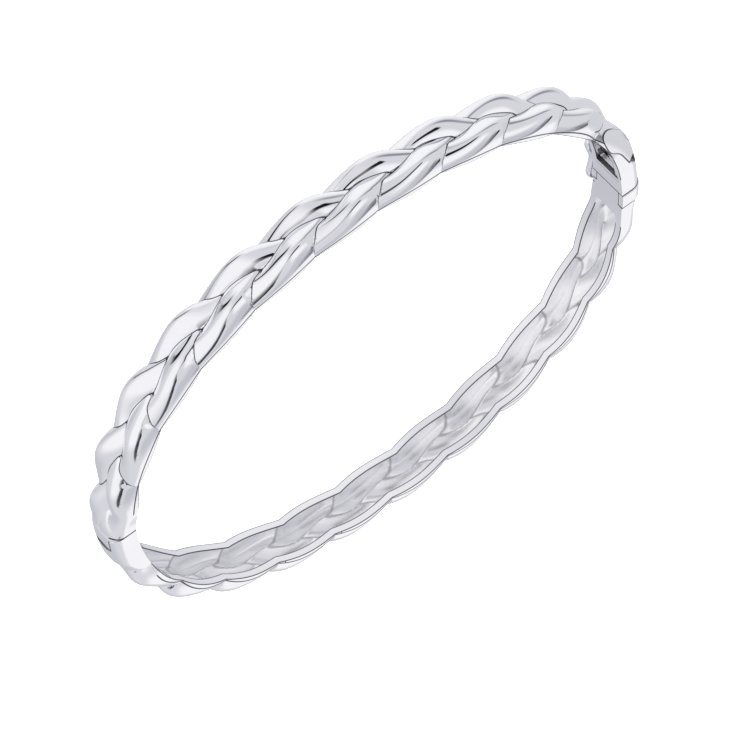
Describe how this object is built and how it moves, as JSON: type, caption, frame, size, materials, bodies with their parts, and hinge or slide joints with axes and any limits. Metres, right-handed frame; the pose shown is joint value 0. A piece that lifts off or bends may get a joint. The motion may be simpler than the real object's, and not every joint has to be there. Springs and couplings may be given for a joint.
{
  "type": "hinged bangle",
  "caption": "Hinged oval bangle with a cast plait relief, open hollow back, box clasp with thumb piece and a figure-eight safety catch.",
  "frame": {"origin": "Middle of the wrist opening, halfway across the band. The bangle lies on its side, on the face that points to -Z.", "axes": "+Z across the band, the upper side as it lies. +X from the clasp to the hinge, along the oval's long axis. -Y is the front half and +Y the back half."},
  "size_m": [0.0636, 0.054, 0.0061],
  "materials": {
    "polished_metal": "bright polished white metal",
    "pin_metal": "drawn wire"
  },
  "bodies": {
    "front_half": {"front_half": "polished_metal"},
    "back_half": {"back_half": "polished_metal", "hinge_pin": "pin_metal", "catch_bead": "polished_metal"},
    "thumb_piece": {"thumb_piece": "polished_metal"},
    "safety_catch": {"safety_catch": "polished_metal"}
  },
  "joints": [
    {"name": "hinge", "type": "hinge", "parent": "front_half", "child": "back_half", "pos_m": [0.03035, 0, 0], "axis": [0, 0, -1], "range_deg": [0, 50]},
    {"name": "thumb_press", "type": "hinge", "parent": "back_half", "child": "thumb_piece", "pos_m": [-0.0303, -0.00175, 0], "axis": [0, 0, -1], "range_deg": [0, 5], "stiffness_Nm_per_rad": 0.15},
    {"name": "catch_swing", "type": "hinge", "parent": "front_half", "child": "safety_catch", "pos_m": [-0.03025, -0.0041, -0.00285], "axis": [-1, 0, 0], "range_deg": [0, 100]}
  ]
}
